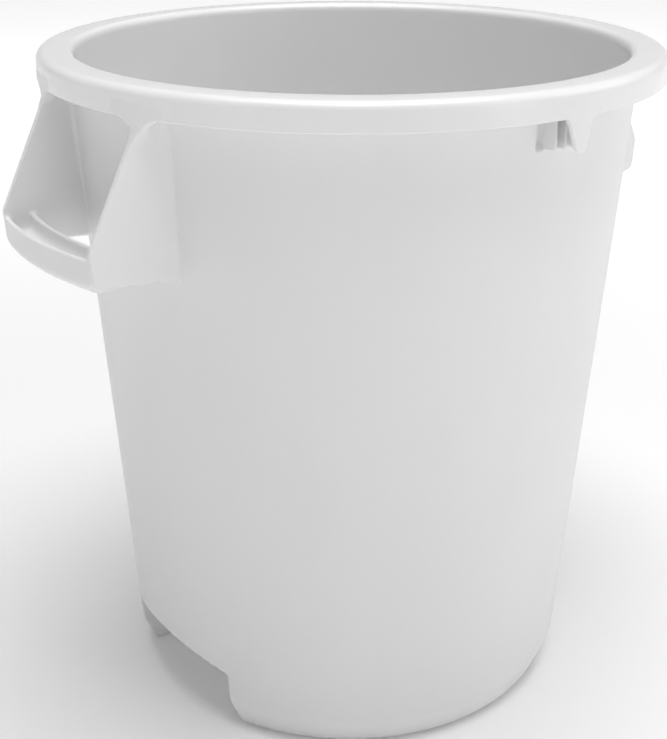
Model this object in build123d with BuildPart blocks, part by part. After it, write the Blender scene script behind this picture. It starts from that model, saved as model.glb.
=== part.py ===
"""Round utility wastebasket, about ten US gallons, moulded in white polyethylene.

Frame: millimetres, +Z up, origin on the ground at the centre of the base.
The two carrying handles lie on -X (left) and +X (right), the two liner cinch tabs on -Y (front) and +Y (rear).
Every sub-part is one region of the moulding, and neighbours meet face to face.
"""

import os
from math import cos, radians, sin, sqrt

from build123d import *

os.makedirs("parts", exist_ok=True)

# ---- driving dimensions --------------------------------------------------------------------------------------
total_height = 434.6

# rim: an inverted channel whose outer leg is the band
rim_radius = 197.0
rim_inner_radius = 174.4
rim_deck = 5.0
rim_outer_round = 5.5
rim_inner_round = 4.4
band_depth = 16.3
band_draft = 0.4
band_thickness = 3.2

# side wall: one straight taper outside, another inside
wall_foot_radius = 153.6
wall_foot_height = 22.0
wall_taper = 0.0662
wall_foot_thickness = 3.4

# base: chamfered corner that ends in a foot ring, and a floor raised above the ground
corner_bottom_radius = 146.4
corner_bottom_height = 4.6
foot_outer_radius = 142.0
foot_width = 4.0
floor_underside = 8.0
floor_thickness = 4.0
skid_radii = (64.0, 96.0)
skid_width = 4.0
skid_round = 1.2

# hand-holds in the base, one under each handle and turned a little round from it
hold_turn = -2.0
notch_half_width = 59.8
notch_end_height = 43.4
notch_crown_height = 52.0
hold_back = 113.0
hold_back_round = 8.0
hold_shell = 3.2
hold_ceiling = 52.0

# handles: two cheeks and a curved grip, measured outwards from the axis
cheek_face = 55.5
cheek_thickness = 3.6
cheek_root_bottom = 322.2
cheek_rounds = (10.0, 5.0, 5.0)
diagonal_drop = (7.3, 68.8)
grip_radius = 228.0
grip_top = 345.0
grip_bottom = 324.5
grip_floor = 7.0
grip_depth = 19.5
grip_wall = 3.3
grip_rounds = (7.0, 4.0, 1.4)
grip_half_angle = 16.0

# cinch tabs: a tooth under the band, and pinch ribs in a recess of the wall behind it
tab_drop = 19.5
tab_root = (-10.2, 9.6)
tab_tip = (-1.4, 5.8)
tab_round = 3.2
recess_half_angle = 4.4
recess_depth = 3.0
recess_height = 21.0
ledge_height = 6.0
rib_radius = 187.0
rib_length = 12.0
rib_angle = 2.3
rib_thickness = 1.8
rib_height = 20.0

# gussets inside the rim channel
gusset_count = 24
gusset_angle = 0.8
gusset_height = 9.0

# ---- derived sizes -------------------------------------------------------------------------------------------
deck_underside = total_height - rim_deck
band_bottom = total_height - band_depth
band_bottom_radius = rim_radius + band_draft
band_inner_radius = band_bottom_radius - band_thickness
floor_top = floor_underside + floor_thickness
foot_inner_radius = foot_outer_radius - foot_width
lip_radius = grip_radius - grip_depth
wall_inner_foot = wall_foot_radius - wall_foot_thickness
inner_taper = (rim_inner_radius - wall_inner_foot) / (deck_underside - wall_foot_height)


def wall_outer(z):
    """Outer radius of the side wall at height z."""
    return wall_foot_radius + wall_taper * (z - wall_foot_height)


def wall_inner(z):
    """Inner radius of the side wall at height z."""
    return wall_inner_foot + inner_taper * (z - wall_foot_height)


def band_inner(z):
    """Inner radius of the band at height z."""
    return band_inner_radius - band_draft * (z - band_bottom) / (deck_underside - band_bottom)


def along(radius, offset):
    """Distance along the handle direction of a point at this radius and sideways offset."""
    return sqrt(radius**2 - offset**2)


def radial_plane(angle):
    """Upright plane through the axis, with its local X pointing outwards at this angle."""
    a = radians(angle)
    return Plane(origin=(0, 0, 0), x_dir=(cos(a), sin(a), 0), z_dir=(sin(a), -cos(a), 0))


def finish(part, name):
    """Label a finished sub-part and write it as one STEP file."""
    part.label = name
    export_step(part, f"parts/{name}.step")


# ---- tool solids that give neighbours their shared faces -----------------------------------------------------
with BuildPart() as wall_outside:
    with BuildSketch(Plane.XZ):
        Polygon(
            (0, 0),
            (wall_outer(0), 0),
            (wall_outer(total_height), total_height),
            (0, total_height),
            align=None,
        )
    revolve(axis=Axis.Z)

with BuildPart() as room:
    with BuildSketch(Plane.XZ):
        Polygon(
            (0, 0),
            (foot_inner_radius, 0),
            (foot_inner_radius, floor_top),
            (wall_inner_foot, wall_foot_height),
            (wall_inner(total_height), total_height),
            (0, total_height),
            align=None,
        )
    revolve(axis=Axis.Z)

# region taken by a hand-hold shell, and the open space inside it, for the +X side
ground = Plane.XY.rotated((0, 0, hold_turn))
hold_reach = rim_radius - hold_back

with BuildPart() as hold_space:
    with BuildSketch(ground):
        with Locations((hold_back, 0)):
            Rectangle(hold_reach, 2 * notch_half_width, align=(Align.MIN, Align.CENTER))
    extrude(amount=hold_ceiling)
    rear = hold_space.faces().sort_by(Axis.X)[0]
    fillet(rear.edges().filter_by(Axis.Z), hold_back_round)
    Cylinder(foot_inner_radius, 2 * total_height, mode=Mode.INTERSECT)

with BuildPart() as hold_block:
    with BuildSketch(ground.offset(floor_underside)):
        with Locations((hold_back - hold_shell, 0)):
            Rectangle(hold_reach, 2 * (notch_half_width + hold_shell), align=(Align.MIN, Align.CENTER))
    extrude(amount=hold_ceiling + hold_shell - floor_underside)
    rear = hold_block.faces().sort_by(Axis.X)[0]
    roof = hold_block.faces().sort_by(Axis.Z)[-1]
    soft = rear.edges().filter_by(Axis.Z) + roof.edges().sort_by(Axis.X)[:-1]
    fillet(soft, hold_back_round)
    add(room.part, mode=Mode.INTERSECT)

# the opening that each hand-hold cuts through the wall and the base corner
with BuildPart() as notch:
    with BuildSketch(Plane.YZ.rotated((0, 0, hold_turn)).offset(hold_back + hold_back_round)):
        with BuildLine():
            ThreePointArc(
                (-notch_half_width, notch_end_height),
                (0, notch_crown_height),
                (notch_half_width, notch_end_height),
            )
            Polyline(
                (notch_half_width, notch_end_height),
                (notch_half_width, -hold_shell),
                (-notch_half_width, -hold_shell),
                (-notch_half_width, notch_end_height),
            )
        make_face()
    extrude(amount=hold_reach)

# ---- bucket wall ---------------------------------------------------------------------------------------------
with BuildPart() as bucket_wall:
    with BuildSketch(Plane.XZ):
        Polygon(
            (wall_inner(wall_foot_height), wall_foot_height),
            (wall_outer(wall_foot_height), wall_foot_height),
            (wall_outer(deck_underside), deck_underside),
            (wall_inner(deck_underside), deck_underside),
            align=None,
        )
    revolve(axis=Axis.Z)
    add(notch.part, mode=Mode.SUBTRACT)
    add(notch.part.rotate(Axis.Z, 180), mode=Mode.SUBTRACT)
    # shallow recesses behind the cinch tabs, with a sloping ledge at the bottom
    for side in (-90, 90):
        top = deck_underside
        low = band_bottom - recess_height
        ledge = low + ledge_height
        with BuildSketch(radial_plane(side - recess_half_angle)):
            Polygon(
                (wall_outer(low), low),
                (wall_outer(ledge) - recess_depth, ledge),
                (wall_outer(top) - recess_depth, top),
                (rib_radius, top),
                (rib_radius, low),
                align=None,
            )
        revolve(axis=Axis.Z, revolution_arc=2 * recess_half_angle, mode=Mode.SUBTRACT)
finish(bucket_wall.part, "bucket_wall")

# ---- base corner, in two arcs between the hand-holds ---------------------------------------------------------
with BuildPart() as corner_ring:
    with BuildSketch(Plane.XZ):
        with BuildLine():
            Line((wall_outer(wall_foot_height), wall_foot_height), (corner_bottom_radius, corner_bottom_height))
            TangentArc(
                (corner_bottom_radius, corner_bottom_height),
                (foot_outer_radius, 0),
                tangent=(corner_bottom_radius - wall_foot_radius, corner_bottom_height - wall_foot_height),
            )
            Polyline(
                (foot_outer_radius, 0),
                (foot_inner_radius, 0),
                (foot_inner_radius, floor_top),
                (wall_inner(wall_foot_height), wall_foot_height),
                (wall_outer(wall_foot_height), wall_foot_height),
            )
        make_face()
    revolve(axis=Axis.Z)
    add(notch.part, mode=Mode.SUBTRACT)
    add(notch.part.rotate(Axis.Z, 180), mode=Mode.SUBTRACT)

corner_arcs = corner_ring.part.solids().sort_by(Axis.Y)
with BuildPart() as base_corner_front:
    add(corner_arcs[0])
finish(base_corner_front.part, "base_corner_front")

with BuildPart() as base_corner_rear:
    add(corner_arcs[1])
finish(base_corner_rear.part, "base_corner_rear")

# ---- floor, hand-hold shells and skid rings ------------------------------------------------------------------
with BuildPart() as floor_panel:
    with BuildSketch(Plane.XY.offset(floor_underside)):
        Circle(foot_inner_radius)
    extrude(amount=floor_thickness)
    add(hold_block.part, mode=Mode.SUBTRACT)
    add(hold_block.part.rotate(Axis.Z, 180), mode=Mode.SUBTRACT)
finish(floor_panel.part, "floor_panel")

with BuildPart() as hand_hold_right:
    add(hold_block.part)
    add(hold_space.part, mode=Mode.SUBTRACT)
    add(notch.part, mode=Mode.SUBTRACT)
finish(hand_hold_right.part, "hand_hold_right")

with BuildPart() as hand_hold_left:
    add(hand_hold_right.part.rotate(Axis.Z, 180))
finish(hand_hold_left.part, "hand_hold_left")

for radius, name in zip(skid_radii, ("skid_ring_inner", "skid_ring_outer")):
    with BuildPart() as skid_ring:
        with BuildSketch(Plane.XY):
            Circle(radius + skid_width / 2)
            Circle(radius - skid_width / 2, mode=Mode.SUBTRACT)
        extrude(amount=floor_underside)
        fillet(skid_ring.faces().sort_by(Axis.Z)[0].edges(), skid_round)
    finish(skid_ring.part, name)

# ---- rim -----------------------------------------------------------------------------------------------------
with BuildPart() as rim_band:
    with BuildSketch(Plane.XZ) as rim_section:
        with BuildLine():
            Polyline(
                (rim_inner_radius, deck_underside),
                (rim_inner_radius, total_height),
                (rim_radius, total_height),
                (band_bottom_radius, band_bottom),
                (band_inner_radius, band_bottom),
                (band_inner(deck_underside), deck_underside),
                (rim_inner_radius, deck_underside),
            )
        make_face()
        corners = rim_section.vertices().group_by(Axis.Y)[-1].sort_by(Axis.X)
        fillet(corners[0], rim_inner_round)
        fillet(corners[-1], rim_outer_round)
    revolve(axis=Axis.Z)
finish(rim_band.part, "rim_band")

with BuildPart() as rim_gussets:
    for index in range(gusset_count):
        turn = 360 / gusset_count * (index + 0.5) - gusset_angle / 2
        with BuildSketch(radial_plane(turn)):
            Polygon(
                (wall_outer(deck_underside), deck_underside),
                (band_inner(deck_underside), deck_underside),
                (band_inner(deck_underside - gusset_height / 2), deck_underside - gusset_height / 2),
                (wall_outer(deck_underside - gusset_height), deck_underside - gusset_height),
                align=None,
            )
        revolve(axis=Axis.Z, revolution_arc=gusset_angle)
finish(rim_gussets.part, "rim_gussets")

# ---- handles -------------------------------------------------------------------------------------------------
# outer edge of a cheek: straight down from the band, out along a diagonal, then down to the grip
edge_top = along(rim_radius, cheek_face)
edge_out = along(grip_radius, cheek_face)
cheek_outline = [
    (edge_top, deck_underside),
    (edge_top, band_bottom - diagonal_drop[0]),
    (edge_out, band_bottom - diagonal_drop[1]),
    (edge_out, grip_bottom),
    (wall_foot_radius, cheek_root_bottom),
]

with BuildPart() as right_front_cheek:
    with BuildSketch(Plane.XZ.offset(cheek_face)):
        with BuildLine():
            FilletPolyline(*cheek_outline, radius=cheek_rounds)
            Polyline(
                cheek_outline[-1],
                (wall_foot_radius, deck_underside),
                cheek_outline[0],
            )
        make_face()
    extrude(amount=-cheek_thickness)
    add(wall_outside.part, mode=Mode.SUBTRACT)
    add(rim_band.part, mode=Mode.SUBTRACT)
finish(right_front_cheek.part, "right_front_cheek")

with BuildPart() as right_rear_cheek:
    add(right_front_cheek.part.mirror(Plane.XZ))
finish(right_rear_cheek.part, "right_rear_cheek")

with BuildPart() as left_front_cheek:
    add(right_front_cheek.part.mirror(Plane.YZ))
finish(left_front_cheek.part, "left_front_cheek")

with BuildPart() as left_rear_cheek:
    add(right_rear_cheek.part.mirror(Plane.YZ))
finish(left_rear_cheek.part, "left_rear_cheek")

with BuildPart() as right_grip:
    with BuildSketch(radial_plane(-grip_half_angle)) as grip_section:
        Polygon(
            (grip_radius, grip_bottom),
            (grip_radius, grip_top),
            (grip_radius - grip_wall, grip_top),
            (grip_radius - grip_wall, grip_bottom + grip_floor),
            (lip_radius + grip_wall, grip_bottom + grip_floor),
            (lip_radius + grip_wall, grip_top),
            (lip_radius, grip_top),
            (lip_radius, grip_bottom),
            align=None,
        )
        levels = grip_section.vertices().group_by(Axis.Y)
        for corners, size in zip(levels, grip_rounds):
            fillet(corners, size)
    revolve(axis=Axis.Z, revolution_arc=2 * grip_half_angle)
    Box(
        4 * grip_radius,
        2 * (cheek_face - cheek_thickness),
        4 * grip_radius,
        mode=Mode.INTERSECT,
    )
finish(right_grip.part, "right_grip")

with BuildPart() as left_grip:
    add(right_grip.part.mirror(Plane.YZ))
finish(left_grip.part, "left_grip")

# ---- liner cinches -------------------------------------------------------------------------------------------
with BuildPart() as cinch_tab_front:
    with BuildSketch(Plane.XZ) as tab_outline:
        with BuildLine():
            FilletPolyline(
                (tab_root[0], band_bottom),
                (tab_tip[0], band_bottom - tab_drop),
                (tab_tip[1], band_bottom - tab_drop),
                (tab_root[1], band_bottom),
                radius=[tab_round, tab_round],
            )
            Line((tab_root[1], band_bottom), (tab_root[0], band_bottom))
        make_face()
    extrude(amount=2 * rim_radius)
    with BuildSketch(Plane.XY.offset(band_bottom - tab_drop)):
        Circle(band_bottom_radius)
        Circle(band_inner_radius, mode=Mode.SUBTRACT)
    extrude(amount=tab_drop, mode=Mode.INTERSECT)
finish(cinch_tab_front.part, "cinch_tab_front")

with BuildPart() as cinch_tab_rear:
    add(cinch_tab_front.part.rotate(Axis.Z, 180))
finish(cinch_tab_rear.part, "cinch_tab_rear")

with BuildPart() as cinch_ribs_front:
    with BuildSketch(Plane.XY.offset(band_bottom - rib_height)):
        with PolarLocations(rib_radius - rib_length / 2, 3, start_angle=-90 - rib_angle,
                            angular_range=2 * rib_angle, endpoint=True):
            Rectangle(rib_length, rib_thickness)
    extrude(amount=rib_height + band_depth - rim_deck)
    add(bucket_wall.part, mode=Mode.SUBTRACT)
finish(cinch_ribs_front.part, "cinch_ribs_front")

with BuildPart() as cinch_ribs_rear:
    add(cinch_ribs_front.part.mirror(Plane.XZ))
finish(cinch_ribs_rear.part, "cinch_ribs_rear")
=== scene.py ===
"""Looks of a round utility wastebasket moulded in white polyethylene.

Shapes are worked out in millimetres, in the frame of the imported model, and written to meshes in metres.
The wall, rim, floor and skid rings are turned profiles. The handles, base and cinches have fillets that run
into each other, so each is a distance field, negative in the plastic, meshed with quads where it is zero.
"""

from math import atan, cos, degrees, pi, radians, sin, sqrt

import bmesh
import bpy
import numpy as np
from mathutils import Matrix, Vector


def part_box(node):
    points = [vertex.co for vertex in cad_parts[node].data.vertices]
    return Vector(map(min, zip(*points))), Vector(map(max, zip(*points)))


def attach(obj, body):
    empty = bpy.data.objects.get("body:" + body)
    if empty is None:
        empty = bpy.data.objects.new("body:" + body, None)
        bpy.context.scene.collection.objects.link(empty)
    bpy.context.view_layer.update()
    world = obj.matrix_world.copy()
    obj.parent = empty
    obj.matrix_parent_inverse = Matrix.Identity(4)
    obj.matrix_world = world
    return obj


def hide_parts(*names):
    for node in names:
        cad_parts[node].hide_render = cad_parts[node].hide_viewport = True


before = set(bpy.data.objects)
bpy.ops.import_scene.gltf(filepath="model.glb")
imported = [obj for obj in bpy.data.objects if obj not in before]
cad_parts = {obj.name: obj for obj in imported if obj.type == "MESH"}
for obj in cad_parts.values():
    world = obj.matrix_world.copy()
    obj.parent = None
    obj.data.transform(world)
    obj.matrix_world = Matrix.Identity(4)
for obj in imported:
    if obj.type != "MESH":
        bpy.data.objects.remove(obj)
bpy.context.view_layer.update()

MM = 0.001

# ---- sizes taken from the frame, in millimetres ----------------------------------------------------------


def reach(node, axis, end):
    """Lowest (end 0) or highest (end 1) coordinate of a node along one axis, in millimetres."""
    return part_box(node)[end]["xyz".index(axis)] / MM


total_height = reach("rim_band", "z", 1)
band_bottom = reach("rim_band", "z", 0)
band_radius = reach("rim_band", "x", 1)
deck_underside = reach("bucket_wall", "z", 1)
wall_foot_height = reach("bucket_wall", "z", 0)
wall_top_radius = reach("bucket_wall", "x", 1)
wall_foot_radius = -reach("base_corner_front", "y", 0)
floor_underside = reach("floor_panel", "z", 0)
floor_top = reach("floor_panel", "z", 1)
cheek_face = -reach("right_front_cheek", "y", 0)
cheek_bottom = reach("right_front_cheek", "z", 0)
grip_radius = reach("right_grip", "x", 1)
grip_top = reach("right_grip", "z", 1)
tab_tip = reach("cinch_tab_front", "z", 0)
skid_outer_radius = reach("skid_ring_outer", "x", 1)
skid_inner_radius = reach("skid_ring_inner", "x", 1)

# ---- detail sizes ----------------------------------------------------------------------------------------
band_draft = 0.4
band_thickness = 3.2
rim_inner_radius = 174.4
wall_foot_thickness = 3.4

# height where the wall meets the base, and radius where the base meets the middle of the floor
wall_seam_height = 62.0
floor_seam_radius = 104.0

# shallow recess in the wall behind each cinch tab, angles in degrees
recess_half_angle = 4.4
recess_side_blend = 0.2
recess_depth = 3.0
recess_top_of_ledge = 403.5
recess_bottom_of_ledge = 397.0

# a piece that grows out of another one is blended into a surface this far under the other's face
sink = 0.02
# and reaches this far inside it
bury = 0.8

wall_taper = (wall_top_radius - wall_foot_radius) / (deck_underside - wall_foot_height)
inner_foot_radius = wall_foot_radius - wall_foot_thickness
inner_taper = (rim_inner_radius - inner_foot_radius) / (deck_underside - wall_foot_height)


def wall_outer(z):
    """Outer radius of the wall at height z."""
    return wall_foot_radius + wall_taper * (z - wall_foot_height)


def wall_inner(z):
    """Inner radius of the wall at height z."""
    return inner_foot_radius + inner_taper * (z - wall_foot_height)


def band_outer(z):
    """Outer radius of the rim's band at height z."""
    return band_radius - band_draft * (z - band_bottom) / (total_height - band_bottom)


def smooth_step(value, low, high):
    """Smooth rise from 0 at low to 1 at high."""
    t = np.clip((value - low) / (high - low), 0.0, 1.0)
    return t * t * (3 - 2 * t)


# ---- fields ----------------------------------------------------------------------------------------------


def join(a, b, r):
    """Union of two fields with a concave fillet of radius r."""
    return np.maximum(r, np.minimum(a, b)) - np.hypot(np.maximum(r - a, 0), np.maximum(r - b, 0))


def meet(a, b, r):
    """Intersection of two fields with a rounded edge of radius r."""
    return -join(-a, -b, r)


def soft_min(a, b, reach):
    """Union of two fields that meet at a shallow angle, filled by a quarter of reach at the corner."""
    near = np.maximum(reach - np.abs(a - b), 0)
    return np.minimum(a, b) - near * near / (4 * reach)


def soft_max(a, b, reach):
    """Intersection of two fields that meet at a shallow angle."""
    return -soft_min(-a, -b, reach)


def side_of(u, v, start, end):
    """Distance to the right of the line from start to end in the u, v plane."""
    du = end[0] - start[0]
    dv = end[1] - start[1]
    return ((u - start[0]) * dv - (v - start[1]) * du) / sqrt(du * du + dv * dv)


# ---- meshes ----------------------------------------------------------------------------------------------
# the grid gets one more layer all round, so that a piece is closed where it reaches the grid's end
grid_pad = 1e-3
# a grid point exactly on the surface counts as this far outside
off_surface = 1e-9
# smoothing draws each point relax_share of the way to its neighbours' mean; settle_rounds Newton steps,
# none longer than longest_move of the smallest grid step, then put it back on the surface
relax_share = 0.5
settle_rounds = 3
longest_move = 0.7
# guards against division by nothing
least_slope = 1e-6
least_length = 1e-9
least_facing = 1e-12
# edges of a turned piece sharper than this many degrees are shaded sharp
crease_angle = 38.0
# points of a disc closer together than this many metres are merged
merge_distance = 1e-6


def gradient(field, points, step=0.02):
    """Central differences of a field at an array of points."""
    parts = []
    for axis in range(3):
        move = np.zeros(3)
        move[axis] = step
        parts.append((field(*(points + move).T) - field(*(points - move).T)) / (2 * step))
    return np.stack(parts, axis=1)


def net_vertices(value, lines):
    """One vertex in each grid cell that the surface crosses: the mean of its edge crossings."""
    cells = [n - 1 for n in value.shape]
    total = np.zeros(cells + [3])
    count = np.zeros(cells)
    for axis in range(3):
        low = np.moveaxis(value, axis, 0)[:-1]
        high = np.moveaxis(value, axis, 0)[1:]
        cross = (low < 0) != (high < 0)
        share = np.where(cross, low / np.where(cross, low - high, 1.0), 0.0)
        others = [k for k in range(3) if k != axis]
        place = np.zeros(low.shape + (3,))
        start = lines[axis][:-1, None, None]
        place[..., axis] = start + share * (lines[axis][1:, None, None] - start)
        place[..., others[0]] = lines[others[0]][None, :, None]
        place[..., others[1]] = lines[others[1]][None, None, :]
        place *= cross[..., None]
        for first in (slice(None, -1), slice(1, None)):
            for second in (slice(None, -1), slice(1, None)):
                total += np.moveaxis(place[:, first, second], 0, axis)
                count += np.moveaxis(cross[:, first, second], 0, axis)
    return total, count


def net_quads(value, index):
    """One quad round each grid edge that the surface crosses, facing out of the plastic."""
    quads = []
    for axis in range(3):
        order = [axis, (axis + 1) % 3, (axis + 2) % 3]
        field = np.transpose(value, order)
        cell = np.transpose(index, order)
        inside = field < 0
        k, m, n = np.nonzero(inside[:-1] != inside[1:])
        ring = [cell[k, m - 1, n - 1], cell[k, m, n - 1], cell[k, m, n], cell[k, m - 1, n]]
        quad = np.stack(ring, axis=1)
        back = ~inside[k, m, n]
        quad[back] = quad[back][:, ::-1]
        quads.append(quad)
    return np.concatenate(quads)


def unmoved(u, v, w):
    """Grid coordinates that already are x, y and z."""
    return u, v, w


def net(field, axes, embed=None, stretch=None, rounds=2):
    """Closed quad mesh of field < 0, cut flat where the grid ends: points, quads, corner normals."""
    embed = embed or unmoved
    stretch = stretch or np.ones_like

    def local(u, v, w):
        """The field in grid coordinates."""
        return field(*embed(u, v, w))

    lines = [np.concatenate(([a[0] - grid_pad], a, [a[-1] + grid_pad])) for a in axes]
    raw = local(*np.meshgrid(*lines, indexing="ij"))
    value = np.full(raw.shape, 1.0)
    value[1:-1, 1:-1, 1:-1] = raw[1:-1, 1:-1, 1:-1]
    value[value == 0] = off_surface

    total, count = net_vertices(value, lines)
    where = np.nonzero(count)
    index = np.full(count.shape, -1)
    index[where] = np.arange(len(where[0]))
    points = total[where] / count[where][:, None]
    quads = net_quads(value, index)

    # points on the cut faces stay in them; points inside a cut face don't move at all
    solid = raw < 0
    touched = np.zeros(count.shape, bool)
    first = solid[:-1, :-1, :-1]
    for i in (slice(None, -1), slice(1, None)):
        for j in (slice(None, -1), slice(1, None)):
            for k in (slice(None, -1), slice(1, None)):
                touched |= solid[i, j, k] != first
    touched = touched[where]
    last = np.array(count.shape) - 1
    cell = np.stack(where, axis=1)
    pinned = (cell == 0) | (cell == last)
    free = touched[:, None] & ~pinned
    edge = min(np.min(np.diff(a)) for a in axes)

    pairs = np.concatenate([quads[:, [0, 1]], quads[:, [1, 2]], quads[:, [2, 3]], quads[:, [3, 0]]])
    degree = np.bincount(pairs.ravel(), minlength=len(points))[:, None]
    for step in range(rounds + 1):
        if step:
            near = np.zeros_like(points)
            for axis in range(3):
                near[:, axis] = np.bincount(pairs[:, 0], points[pairs[:, 1], axis], len(points))
                near[:, axis] += np.bincount(pairs[:, 1], points[pairs[:, 0], axis], len(points))
            points = np.where(free, points + relax_share * (near / degree - points), points)
        for _ in range(settle_rounds):
            scale = stretch(points)
            slope = np.where(free, gradient(local, points) / scale, 0.0)
            move = -local(*points.T)[:, None] * slope / np.maximum((slope**2).sum(1), least_slope)[:, None]
            length = np.linalg.norm(move, axis=1)[:, None]
            move *= np.minimum(1.0, longest_move * edge / np.maximum(length, least_length))
            points = points + move / scale

    placed = np.stack(embed(*points.T), axis=1)
    normals = gradient(field, placed)
    normals /= np.linalg.norm(normals, axis=1)[:, None]
    corners = normals[quads]
    flat = (pinned[quads].sum(1) == 4).any(1)
    a, b, c, d = (placed[quads[:, k]] for k in range(4))
    facing = np.cross(c - a, d - b)
    facing /= np.maximum(np.linalg.norm(facing, axis=1), least_facing)[:, None]
    corners[flat] = facing[flat][:, None, :]
    return placed, quads, corners


def round_axes(turn):
    """Grid axes radius, angle in degrees, height, placed about +X turned by an angle."""

    def embed(radius, angle, height):
        """x, y and z of grid coordinates."""
        a = np.radians(angle + turn)
        return radius * np.cos(a), radius * np.sin(a), height

    def stretch(points):
        """Millimetres in one unit of each grid coordinate."""
        scale = np.ones_like(points)
        scale[:, 1] = points[:, 0] * radians(1)
        return scale

    return embed, stretch


def turned(points, quarter_turns):
    """Points or normals turned about the axis by whole quarter turns."""
    x, y, z = np.moveaxis(points, -1, 0)
    for _ in range(quarter_turns % 4):
        x, y = -y, x
    return np.stack([x, y, z], axis=-1)


def piece(name, points, faces, material, replaced, corners=None):
    """A Blender object from points in millimetres, riding on the frame in place of its CAD nodes."""
    mesh = bpy.data.meshes.new(name)
    mesh.from_pydata((np.asarray(points) * MM).tolist(), [], np.asarray(faces).tolist())
    mesh.update()
    mesh.materials.append(material)
    mesh.shade_smooth()
    if corners is None:
        mesh.set_sharp_from_angle(angle=radians(crease_angle))
    else:
        mesh.normals_split_custom_set(np.asarray(corners).reshape(-1, 3).tolist())
    made = bpy.data.objects.new(name, mesh)
    bpy.context.scene.collection.objects.link(made)
    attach(made, "root")
    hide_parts(*replaced)
    return made


def arc(centre, radius, start, end, count):
    """Points on an arc, angles in degrees."""
    angles = np.radians(np.linspace(start, end, count))
    return [(centre[0] + radius * cos(a), centre[1] + radius * sin(a)) for a in angles]


def lathe(profiles, angles):
    """Closed mesh from one closed profile of (radius, height) points at each angle, right round."""
    rows = len(angles)
    count = len(profiles[0])
    points = [
        (radius * cos(radians(angle)), radius * sin(radians(angle)), height)
        for angle, profile in zip(angles, profiles)
        for radius, height in profile
    ]
    faces = []
    for i in range(rows):
        k = (i + 1) % rows
        for j in range(count):
            l = (j + 1) % count
            faces.append((i * count + j, k * count + j, k * count + l, i * count + l))
    return points, faces


# ---- materials -------------------------------------------------------------------------------------------
polyethylene_index = 1.51
cloud_scale = 7.0
streak_scale = 26.0
rub_scale = 90.0
grain_scale = 1500.0
# colour of the darkest and palest clouds, as shares of the tone
darkest = (0.97, 0.97, 0.968)
palest = (1.015, 1.015, 1.014)


def polyethylene(name, tone, roughness, grain, wear):
    """White moulded polyethylene: cloudy tone, fine grain, faint drawn streaks and rubbed patches."""
    material = bpy.data.materials.new(name)
    material.use_nodes = True
    nodes = material.node_tree.nodes
    links = material.node_tree.links
    shader = nodes["Principled BSDF"]
    shader.inputs["IOR"].default_value = polyethylene_index
    shader.inputs["Specular IOR Level"].default_value = 0.5
    place = nodes.new("ShaderNodeTexCoord").outputs["Object"]

    def noise(scale, detail, stretch=(1, 1, 1)):
        """Factor of a noise texture in object coordinates."""
        mapping = nodes.new("ShaderNodeMapping")
        mapping.inputs["Scale"].default_value = stretch
        links.new(place, mapping.inputs["Vector"])
        texture = nodes.new("ShaderNodeTexNoise")
        texture.inputs["Scale"].default_value = scale
        texture.inputs["Detail"].default_value = detail
        links.new(mapping.outputs["Vector"], texture.inputs["Vector"])
        return texture.outputs["Fac"]

    def remap(value, low, high, to_low, to_high):
        """Value taken from one range to another."""
        node = nodes.new("ShaderNodeMapRange")
        node.inputs["From Min"].default_value = low
        node.inputs["From Max"].default_value = high
        node.inputs["To Min"].default_value = to_low
        node.inputs["To Max"].default_value = to_high
        links.new(value, node.inputs["Value"])
        return node.outputs["Result"]

    def combine(operation, first, second):
        """Two values put together by a sum or a product."""
        node = nodes.new("ShaderNodeMath")
        node.operation = operation
        links.new(first, node.inputs[0])
        links.new(second, node.inputs[1])
        return node.outputs["Value"]

    clouds = noise(cloud_scale, detail=3.0)
    streaks = noise(streak_scale, detail=4.0, stretch=(1.0, 1.0, 0.12))
    rubs = noise(rub_scale, detail=6.0, stretch=(1.0, 1.0, 0.5))
    fine = noise(grain_scale, detail=2.0)

    ramp = nodes.new("ShaderNodeValToRGB")
    ramp.color_ramp.elements[0].position = 0.25
    ramp.color_ramp.elements[0].color = (*(tone * share for share in darkest), 1)
    ramp.color_ramp.elements[1].position = 0.75
    ramp.color_ramp.elements[1].color = (*(tone * share for share in palest), 1)
    cloudy = remap(clouds, 0.2, 0.8, 0.6, 1.0)
    streaky = remap(streaks, 0.2, 0.8, 0.7, 1.0)
    links.new(combine("MULTIPLY", cloudy, streaky), ramp.inputs["Fac"])
    links.new(ramp.outputs["Color"], shader.inputs["Base Color"])

    worn = remap(rubs, 0.4, 0.9, 0.0, 2 * wear)
    base = remap(streaks, 0.2, 0.8, roughness - wear, roughness + wear)
    links.new(combine("ADD", base, worn), shader.inputs["Roughness"])

    bump = nodes.new("ShaderNodeBump")
    bump.inputs["Strength"].default_value = 1.0
    bump.inputs["Distance"].default_value = grain
    links.new(fine, bump.inputs["Height"])
    links.new(bump.outputs["Normal"], shader.inputs["Normal"])
    return material


body_plastic = polyethylene("body_plastic", tone=0.85, roughness=0.42, grain=0.00001, wear=0.025)
rim_plastic = polyethylene("rim_plastic", tone=0.87, roughness=0.24, grain=0.000003, wear=0.01)


# ---- wall ------------------------------------------------------------------------------------------------


def recess_cut(angle, z):
    """Depth of the cinch recesses at an angle and height of the wall."""
    offset = np.abs((angle % 180.0) - 90.0)
    side_start = recess_half_angle - recess_side_blend
    side_end = recess_half_angle + recess_side_blend
    across = 1 - smooth_step(offset, side_start, side_end)
    up = smooth_step(z, recess_bottom_of_ledge, recess_top_of_ledge)
    return recess_depth * across * up


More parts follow.
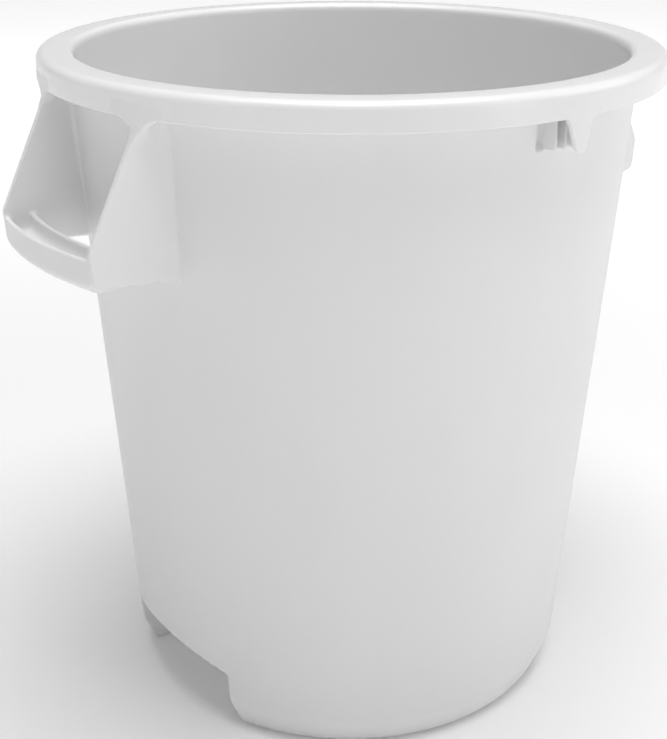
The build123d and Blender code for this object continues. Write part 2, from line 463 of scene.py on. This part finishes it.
def wall_angles():
    """Angles of the wall's columns: close in the recesses, closest at their sides, wider elsewhere."""
    edge = recess_half_angle
    side_band = 0.3
    inside_step = 0.2
    side_step = 0.1
    outside_step = 0.6
    outside_reach = 3.0
    plain_step = 0.75
    half = np.concatenate([
        np.arange(0.5 * inside_step, edge - side_band, inside_step),
        np.arange(edge - side_band, edge + side_band + 0.1 * side_step, side_step),
        np.arange(edge + outside_step, edge + outside_reach, outside_step),
    ])
    near = np.concatenate([-half[::-1], half])
    between = np.arange(90 + edge + outside_reach, 270 - edge - outside_reach, plain_step)
    return np.sort(np.concatenate([90 + near, between, 270 + near, between + 180]) % 360)


def make_wall():
    """Side wall from its seam with the base up to the rim's deck, with the two recesses."""
    angles = wall_angles()
    low = wall_seam_height
    high = deck_underside
    ledge_margin = 1.0
    rows_below = 12
    rows_on_ledge = 22
    rows_above = 6
    rows_inside = 9
    ledge = np.linspace(
        recess_bottom_of_ledge - ledge_margin, recess_top_of_ledge + ledge_margin, rows_on_ledge
    )
    below = np.linspace(low, ledge[0], rows_below)[:-1]
    above = np.linspace(ledge[-1], high, rows_above)[1:]
    outer = np.concatenate([below, ledge, above])
    inner = np.linspace(high, low, rows_inside)
    profiles = []
    for angle in angles:
        wall = [(wall_outer(z) - float(recess_cut(angle, z)), z) for z in outer]
        profiles.append(wall + [(wall_inner(z), z) for z in inner])
    points, faces = lathe(profiles, angles)
    piece("wall_shell", points, faces, body_plastic, ["bucket_wall"])


# ---- rim -------------------------------------------------------------------------------------------------
rim_outer_round = 5.5
rim_inner_round = 4.4
band_edge_round = 0.9
band_back_round = 0.6
channel_round = 3.0
wall_tongue = 1.5
tongue_drop = 3.2


def make_rim():
    """Inverted channel: flat deck, outer leg, and a tongue that runs into the top of the wall."""
    lean = degrees(atan(inner_taper))
    # the inner face leans outwards as it rises, so the centre of its round lies a little further out
    set_back = rim_inner_round * 1.03
    profile = [(rim_inner_radius, deck_underside)]
    centre = (rim_inner_radius + set_back, total_height - rim_inner_round)
    profile += arc(centre, rim_inner_round, 180 - lean, 90, 9)
    centre = (band_outer(total_height) - rim_outer_round, total_height - rim_outer_round)
    profile += arc(centre, rim_outer_round, 90, 0, 12)
    centre = (band_radius - band_edge_round, band_bottom + band_edge_round)
    profile += arc(centre, band_edge_round, 0, -90, 6)
    back = band_radius - band_thickness
    profile += arc((back + band_back_round, band_bottom + band_back_round), band_back_round, -90, -180, 4)
    profile += arc((back - channel_round, deck_underside - channel_round), channel_round, 0, 90, 6)
    root = wall_outer(deck_underside)
    profile += arc((root + channel_round, deck_underside - channel_round), channel_round, 90, 180, 6)
    tongue = root - recess_depth - wall_tongue
    profile += [(tongue, deck_underside - tongue_drop), (tongue, deck_underside)]
    profile.reverse()
    column_step = 1.0
    angles = np.arange(0, 360, column_step)
    points, faces = lathe([profile] * len(angles), angles)
    piece("rim_shell", points, faces, rim_plastic, ["rim_band"])


# ---- handles ---------------------------------------------------------------------------------------------
# cheeks: the outer face leans in towards the foot, and the inner side has two planes that meet at a crease;
# edge_plane_unit makes the sloping plane's field a distance
cheek_draft = 0.012
cheek_edge_thickness = 3.8
cheek_bottom_drop = 0.6
cheek_bottom_slope = 0.083
cheek_bottom_bevel = 0.45
cheek_bevel_width = 5
cheek_into_deck = 0.3
cheek_corner_round = 5.0
cheek_edge_round = 0.9
crease_top = (190.0, 410.0)
crease_round = 0.6
root_plane_lean = 0.0277
edge_plane_flare = 0.111
edge_plane_lean = 0.0525
edge_plane_unit = 0.993
diagonal_top = (190.4, 411.0)
diagonal_foot = (221.9, 349.5)
edge_blend = 1.2

# rounded webs between a cheek and the underside of the band, growing from web_start out to web_end and
# trimmed along the diagonal edge where they are more than web_trim from the cheek
web_inner_radius = 13.0
web_outer_radius = 15.5
web_least_radius = 0.5
web_rise = 9
web_margin = 3.5
web_trim = 1
web_start = band_radius - 16.0
web_end = band_radius - band_thickness - 0.8

# a flush piece stands proud of the band up to proud_height above its bottom edge and out to proud_width
# from the piece's root, and sinks under the band's face beyond them
proud = 0.03
proud_loss_up = 0.002
proud_loss_across = 0.004
proud_height = 1
proud_width = 13

# grip: a channel open at the top
grip_lean = 0.06
grip_underside = 324.4
grip_belly_round = 7.5
grip_inner_round = 5.0
grip_lip_round = 1.3
grip_into_cheek = 1.2
lip_radius = 208.5
lip_thickness = 3.3
channel_floor = 335.0
channel_bottom_round = 5.0
cheek_to_grip_fillet = 2.8

# fillet against the wall, wider towards the top, and cut off at root_reach times its radius
root_fillet = 2.0
root_fillet_gain = 2.0
root_fillet_from = 335
root_fillet_to = 400
root_reach = 1.25


def band_overlap(z, lateral):
    """How far a flush piece stands proud of the band, at this height and this far outside its root."""
    rise = np.maximum(0, z - band_bottom - proud_height)
    beside = np.maximum(0, lateral - proud_width)
    return proud - proud_loss_up * rise**2 - proud_loss_across * beside**2


def cheek_plate(d, side, z):
    """Both cheeks as endless plates, before their outline is cut."""
    face = cheek_face - cheek_draft * (band_bottom - z)
    crease = cheek_face - cheek_edge_thickness
    root_plane = crease - root_plane_lean * (crease_top[1] - z)
    edge_plane = crease + edge_plane_flare * (d - crease_top[0]) + edge_plane_lean * (z - crease_top[1])
    inside = soft_max(root_plane - side, (edge_plane - side) * edge_plane_unit, crease_round)
    return np.maximum(inside, side - face), face, root_plane


def webbed(plate, radius, side, z):
    """The plates with the rounded webs that spread out under the band."""
    under_band = smooth_step(radius, web_start, web_end)
    outer_half = side > cheek_face - 0.5 * cheek_edge_thickness
    web_radius = np.where(outer_half, web_outer_radius, web_inner_radius)
    web_radius = web_least_radius + web_radius * under_band
    web = join(band_bottom + sink - z, plate, web_radius)
    web = np.maximum(web, z - band_bottom - web_rise)
    web = np.maximum(web, plate - web_radius - web_margin * under_band)
    return np.minimum(np.maximum(plate, z - deck_underside - cheek_into_deck), web)


def handle(d, n, z):
    """Handle about +X: two cheeks hung from the band, and a channel-shaped grip between their feet."""
    side = np.abs(n)
    radius = np.hypot(d, n)
    plate, face, root_plane = cheek_plate(d, side, z)
    plates = webbed(plate, radius, side, z)

    flush = radius - band_outer(np.maximum(z, band_bottom)) - band_overlap(z, plate)
    diagonal = -side_of(d, z, diagonal_top, diagonal_foot) + np.maximum(0, plate - web_trim)
    belly = radius - grip_radius + grip_lean * (grip_top - z)
    outline = soft_max(soft_min(flush, diagonal, edge_blend), belly, edge_blend)
    cheek_low = cheek_bottom - cheek_bottom_drop + cheek_bottom_slope * (d - wall_foot_radius) - z
    cheek_low = cheek_low + cheek_bottom_bevel * np.clip(face - side, 0, cheek_bevel_width)
    plates = meet(plates, meet(outline, cheek_low, cheek_corner_round), cheek_edge_round)

    grip_low = grip_underside - z
    hull = meet(belly, grip_low, grip_belly_round)
    channel = meet(radius - grip_radius + lip_thickness, channel_floor - z, channel_bottom_round)
    channel = meet(channel, lip_radius + lip_thickness - radius, channel_bottom_round)
    grip = np.maximum(np.maximum(hull, meet(lip_radius - radius, grip_low, grip_inner_round)), -channel)
    grip = meet(grip, z - grip_top, grip_lip_round)
    grip = np.maximum(grip, side - root_plane - grip_into_cheek)
    whole = np.maximum(join(plates, grip, cheek_to_grip_fillet), np.minimum(hull, plates))
    whole = np.maximum(whole, belly)

    wall = radius - wall_outer(z)
    root = root_fillet + root_fillet_gain * smooth_step(z, root_fillet_from, root_fillet_to)
    blended = join(whole, wall + sink, root)
    return np.maximum(np.maximum(blended, -wall - bury), whole - root_reach * root)


def make_handles():
    """The right handle, and the left one as the same mesh turned half round."""
    step = 1.1
    # box round the handle: outwards, across and up
    axes = [
        np.arange(157.0, 230.0, step),
        np.arange(-73.0, 73.1, step),
        np.arange(312.0, 432.0, step),
    ]
    points, quads, corners = net(handle, axes)
    for name, turns in (("right", 0), ("left", 2)):
        replaced = [f"{name}_front_cheek", f"{name}_rear_cheek", f"{name}_grip"]
        piece(f"{name}_handle", turned(points, turns), quads, body_plastic, replaced,
              turned(corners, turns))


# ---- base ------------------------------------------------------------------------------------------------
foot_inner_radius = 138.0
corner_bottom_radius = 146.4
corner_bottom_height = 4.6
corner_blend = 0.8
foot_round = 3.4
floor_round = 9.0
under_round = 1.5
under_edge_round = 1.0
skid_width = 4.0
skid_round = 1.4
skid_flare = 2.0
skid_into_floor = 1

# hand-holds, turned a little from the handles; the arch of the ceiling stops falling at notch_arch_end
# times the half width
hold_turn = radians(-2.0)
notch_half_width = 59.8
notch_end_height = 43.4
notch_crown_height = 52.0
notch_rise = notch_crown_height - notch_end_height
notch_arch_end = 1.2
hold_back = 113.0
hold_shell = 3.2
hold_corner_round = 8.0
hold_ceiling_round = 1.6
hold_edge_round = 1.1
shell_corner_round = 9.0
shell_roof_round = 5.0
shell_foot_round = 3.0


def base(x, y, z):
    """Foot of the bucket with its floor, chamfered corner and the two hand-holds on X."""
    radius = np.hypot(x, y)
    d = np.abs(x * cos(hold_turn) + y * sin(hold_turn))
    side = np.abs(y * cos(hold_turn) - x * sin(hold_turn))
    wall = (radius - wall_outer(z)) * cos(atan(wall_taper))
    chamfer_bottom = (corner_bottom_radius, corner_bottom_height)
    chamfer = side_of(radius, z, chamfer_bottom, (wall_foot_radius, wall_foot_height))
    outside = meet(soft_max(wall, chamfer, corner_blend), -z, foot_round)

    flank = side - notch_half_width
    ceiling = z - notch_crown_height + notch_rise * np.minimum(side / notch_half_width, notch_arch_end) ** 2
    hold = meet(meet(flank, hold_back - d, hold_corner_round), ceiling, hold_ceiling_round)
    shell = meet(flank - hold_shell, hold_back - hold_shell - d, shell_corner_round)
    shell = meet(shell, ceiling - hold_shell, shell_roof_round)

    cavity = meet(radius - wall_inner(z), floor_top - z, floor_round)
    cavity = meet(cavity, -shell, shell_foot_round)
    under = meet(radius - foot_inner_radius, z - floor_underside, under_round)
    under = meet(under, -shell, under_round)
    body = np.maximum(outside, -cavity)
    body = meet(body, -under, under_edge_round)
    return meet(body, -hold, hold_edge_round)


def make_base():
    """Foot of the bucket in four arcs: two with a hand-hold, two plain ones between them."""
    step = 1.5
    lowest = -1.0
    widest = 159.0
    radii = np.append(np.arange(floor_seam_radius, widest, step), widest)
    heights = np.append(np.arange(lowest, wall_seam_height - 0.5 * step, step), wall_seam_height)
    # half the angle, in degrees, of an arc that holds a hand-hold
    spread = 40.0
    fine_columns = 145
    coarse_columns = 67
    fine = np.linspace(-spread, spread, fine_columns)
    coarse = np.linspace(-90 + spread, 90 - spread, coarse_columns)

    embed, stretch = round_axes(0)
    points, quads, corners = net(base, [radii, fine, heights], embed, stretch)
    for name, turns in (("right", 0), ("left", 2)):
        piece(f"{name}_hand_hold", turned(points, turns), quads, body_plastic,
              [f"hand_hold_{name}"], turned(corners, turns))

    embed, stretch = round_axes(90)
    points, quads, corners = net(base, [radii, coarse, heights], embed, stretch)
    for name, turns in (("rear", 0), ("front", 2)):
        piece(f"{name}_base_corner", turned(points, turns), quads, body_plastic,
              [f"base_corner_{name}"], turned(corners, turns))


def make_floor():
    """Middle of the floor, and the skid rings under it."""
    rings = 14
    column_step = 2.5
    radii = np.linspace(floor_seam_radius, 0.0, rings)
    profile = [(r, floor_underside) for r in radii] + [(r, floor_top) for r in radii[::-1]]
    profile.reverse()
    angles = np.arange(0, 360, column_step)
    points, faces = lathe([profile] * len(angles), angles)
    floor = piece("floor_disc", points, faces, body_plastic, ["floor_panel"])
    close_axis(floor)
    for name, outer in (("inner", skid_inner_radius), ("outer", skid_outer_radius)):
        inner = outer - skid_width
        top = floor_underside
        profile = arc((outer + skid_flare, top - skid_flare), skid_flare, 90, 180, 6)
        profile += arc((outer - skid_round, skid_round), skid_round, 0, -90, 6)
        profile += arc((inner + skid_round, skid_round), skid_round, -90, -180, 6)
        profile += arc((inner - skid_flare, top - skid_flare), skid_flare, 0, 90, 6)
        hidden = top + skid_into_floor
        profile += [(inner - skid_flare, hidden), (outer + skid_flare, hidden)]
        profile.reverse()
        points, faces = lathe([profile] * len(angles), angles)
        piece(f"{name}_skid_ring", points, faces, body_plastic, [f"skid_ring_{name}"])


def close_axis(made):
    """Merges the points on the axis of a turned disc."""
    work = bmesh.new()
    work.from_mesh(made.data)
    bmesh.ops.remove_doubles(work, verts=work.verts, dist=merge_distance)
    work.to_mesh(made.data)
    work.free()


# ---- cinches ---------------------------------------------------------------------------------------------
# tooth: where its two sides leave the band and where they end, left and right of its middle from outside
tab_root = (-10.2, 9.6)
tab_foot = (-1.4, 5.8)
tab_tip_round = 3.4
tab_left_fillet = 1.2
tab_right_fillet = 4.0
tab_root_margin = 2.0
tab_rise = 8
tab_front_round = 0.8
tab_back_round = 0.7
tab_overlap_margin = 4

# pinch ribs on the floor of the recess, rib_angle degrees apart, their width measured at rib_arc_radius;
# rib_foot is their lower end at rib_foot_radius, and rib_foot_unit makes its sloping field a distance
rib_radius = 187.0
rib_angle = 2.3
rib_half_thickness = 0.9
rib_arc_radius = 180.0
rib_foot = 398.2
rib_foot_radius = 181.0
rib_foot_slope = 0.1
rib_foot_unit = 0.995
rib_front_round = 0.8
rib_foot_round = 1.6
rib_root_fillet = 1.8
rib_root_reach = 1.9
rib_into_deck = 0.5


def cinch_tab(x, y, z):
    """Tooth that hangs from the band about +X."""
    radius = np.hypot(x, y)
    across = np.arctan2(y, x) * band_radius
    left = -side_of(across, z, (tab_foot[0], tab_tip), (tab_root[0], band_bottom))
    right = side_of(across, z, (tab_foot[1], tab_tip), (tab_root[1], band_bottom))
    tooth = meet(np.maximum(left, right), tab_tip - z, tab_tip_round)
    root = np.where(across > 0, tab_right_fillet, tab_left_fillet)
    sheet = join(tooth, band_bottom + sink - z, root)
    sheet = np.maximum(np.maximum(sheet, z - band_bottom - tab_rise), tooth - root - tab_root_margin)
    face = radius - band_outer(np.maximum(z, band_bottom)) - band_overlap(z, tooth + tab_overlap_margin)
    back = band_radius - band_thickness - radius
    return meet(meet(sheet, face, tab_front_round), back, tab_back_round)


def cinch_ribs(x, y, z):
    """Three pinch ribs on the floor of the recess about +X."""
    radius = np.hypot(x, y)
    angle = np.arctan2(y, x)
    ribs = np.full(np.shape(radius), np.inf)
    for offset in (-rib_angle, 0.0, rib_angle):
        away = np.abs(angle - radians(offset)) * rib_arc_radius - rib_half_thickness
        ribs = np.minimum(ribs, away)
    front = radius - rib_radius
    foot = (rib_foot - z + rib_foot_slope * (radius - rib_foot_radius)) * rib_foot_unit
    ribs = meet(meet(ribs, front, rib_front_round), foot, rib_foot_round)
    ribs = np.maximum(ribs, z - deck_underside - rib_into_deck)
    ledge = smooth_step(z, recess_bottom_of_ledge, recess_top_of_ledge)
    wall = radius - wall_outer(z) + recess_depth * ledge
    blended = join(ribs, wall + sink, rib_root_fillet)
    return np.maximum(np.maximum(blended, -wall - bury), ribs - rib_root_reach)


def make_cinches():
    """Tab and ribs about +X, turned to the rear and to the front."""
    # grid axes: radius, angle in degrees, height
    embed, stretch = round_axes(0)
    tab_step = 0.75
    rib_step = 0.6
    tab_axes = [
        np.arange(192.0, 199.5, tab_step),
        np.arange(-7.0, 7.01, 0.22),
        np.arange(396.0, 429.0, tab_step),
    ]
    rib_axes = [
        np.arange(172.0, 189.0, rib_step),
        np.arange(-4.2, 4.21, 0.15),
        np.arange(392.0, 432.0, rib_step),
    ]
    for name, field, axes, material, slot in (
        ("cinch_tab", cinch_tab, tab_axes, rim_plastic, "rim"),
        ("cinch_ribs", cinch_ribs, rib_axes, body_plastic, "body"),
    ):
        points, quads, corners = net(field, axes, embed, stretch)
        for end, turns in (("rear", 1), ("front", 3)):
            piece(f"{end}_{name}", turned(points, turns), quads, material,
                  [f"{name}_{end}"], turned(corners, turns))


make_wall()
make_rim()
make_handles()
make_base()
make_floor()
make_cinches()

# the gussets inside the rim keep their plain CAD shape
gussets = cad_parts["rim_gussets"].data
gussets.materials.clear()
gussets.materials.append(body_plastic)


# ---- floor, light and camera -----------------------------------------------------------------------------
paper_tone = 0.93
paper_roughness = 0.9
# floor glow: distances from the bin's axis in metres, and the strength at each
glow_start = 0.25
glow_end = 2.2
glow_near = 0.06
glow_far = 0.62
# sky: sines of the angle above the horizon, and the strength at each
sky_start = 0.02
sky_end = 0.14
sky_low = 0.55
sky_high = 0.22


def smooth_level(nodes, links, source, start, end, from_value, to_value):
    """Socket whose value goes smoothly from from_value to to_value as the source goes from start to end."""
    node = nodes.new("ShaderNodeMapRange")
    node.interpolation_type = "SMOOTHSTEP"
    node.inputs["From Min"].default_value = start
    node.inputs["From Max"].default_value = end
    node.inputs["To Min"].default_value = from_value
    node.inputs["To Max"].default_value = to_value
    links.new(source, node.inputs["Value"])
    return node.outputs["Result"]


def make_stage():
    """Wide pale floor, matt like studio paper, with a glow that grows with distance from the bin."""
    half = 30.0
    corners = [(-half, -half, 0), (half, -half, 0), (half, half, 0), (-half, half, 0)]
    mesh = bpy.data.meshes.new("studio_floor")
    mesh.from_pydata(corners, [], [(0, 1, 2, 3)])
    floor = bpy.data.objects.new("studio_floor", mesh)
    bpy.context.scene.collection.objects.link(floor)
    paint = bpy.data.materials.new("studio_paint")
    paint.use_nodes = True
    nodes = paint.node_tree.nodes
    links = paint.node_tree.links
    shader = nodes["Principled BSDF"]
    shader.inputs["Base Color"].default_value = (paper_tone, paper_tone, paper_tone, 1)
    shader.inputs["Roughness"].default_value = paper_roughness
    shader.inputs["Emission Color"].default_value = (1, 1, 1, 1)
    place = nodes.new("ShaderNodeNewGeometry")
    distance = nodes.new("ShaderNodeVectorMath")
    distance.operation = "LENGTH"
    links.new(place.outputs["Position"], distance.inputs[0])
    glow = smooth_level(nodes, links, distance.outputs["Value"], glow_start, glow_end, glow_near, glow_far)
    links.new(glow, shader.inputs["Emission Strength"])
    mesh.materials.append(paint)


def make_sky():
    """Surroundings that are pale near the horizon and dimmer above."""
    world = bpy.data.worlds.new("studio")
    world.use_nodes = True
    nodes = world.node_tree.nodes
    links = world.node_tree.links
    background = nodes["Background"]
    background.inputs["Color"].default_value = (1, 1, 1, 1)
    direction = nodes.new("ShaderNodeTexCoord")
    split = nodes.new("ShaderNodeSeparateXYZ")
    links.new(direction.outputs["Generated"], split.inputs["Vector"])
    level = smooth_level(nodes, links, split.outputs["Z"], sky_start, sky_end, sky_low, sky_high)
    links.new(level, background.inputs["Strength"])
    bpy.context.scene.world = world


def softbox(name, azimuth, elevation, distance, size, power):
    """Area light aimed at the middle of the bucket. Azimuth 0 is in front, on -Y, and 90 is on +X."""
    lamp = bpy.data.lights.new(name, "AREA")
    lamp.shape = "RECTANGLE"
    lamp.size, lamp.size_y = size
    lamp.energy = power
    a = radians(azimuth)
    e = radians(elevation)
    middle = Vector((0, 0, 0.5 * total_height * MM))
    light = bpy.data.objects.new(name, lamp)
    light.location = middle + distance * Vector((sin(a) * cos(e), -cos(a) * cos(e), sin(e)))
    light.rotation_euler = (light.location - middle).to_track_quat("Z", "Y").to_euler()
    bpy.context.scene.collection.objects.link(light)


def make_camera():
    """Camera at the photograph's viewing angle: in front, to the left and a little above the rim."""
    camera = bpy.data.cameras.new("camera")
    camera.sensor_width = 36
    camera.lens = 63.05
    camera.shift_x = 0.0081
    made = bpy.data.objects.new("camera", camera)
    pitch = radians(23.057)
    azimuth = radians(-37.5)
    made.location = (-0.5229, -0.6568, 0.56395)
    made.rotation_euler = (pi / 2 - pitch, 0, azimuth)
    bpy.context.scene.collection.objects.link(made)
    bpy.context.scene.camera = made
    bpy.context.scene.view_settings.view_transform = "Standard"


make_stage()
make_sky()
softbox("left_strip", azimuth=-78, elevation=14.5, distance=1.5, size=(0.2, 1.15), power=0.35)
softbox("right_strip", azimuth=13, elevation=14.5, distance=1.5, size=(0.28, 1.15), power=1.5)
softbox("right_softbox", azimuth=60, elevation=30, distance=2.4, size=(1.4, 1.4), power=6.5)
softbox("top_softbox", azimuth=0, elevation=86, distance=2.6, size=(2.0, 2.0), power=62)
make_camera()
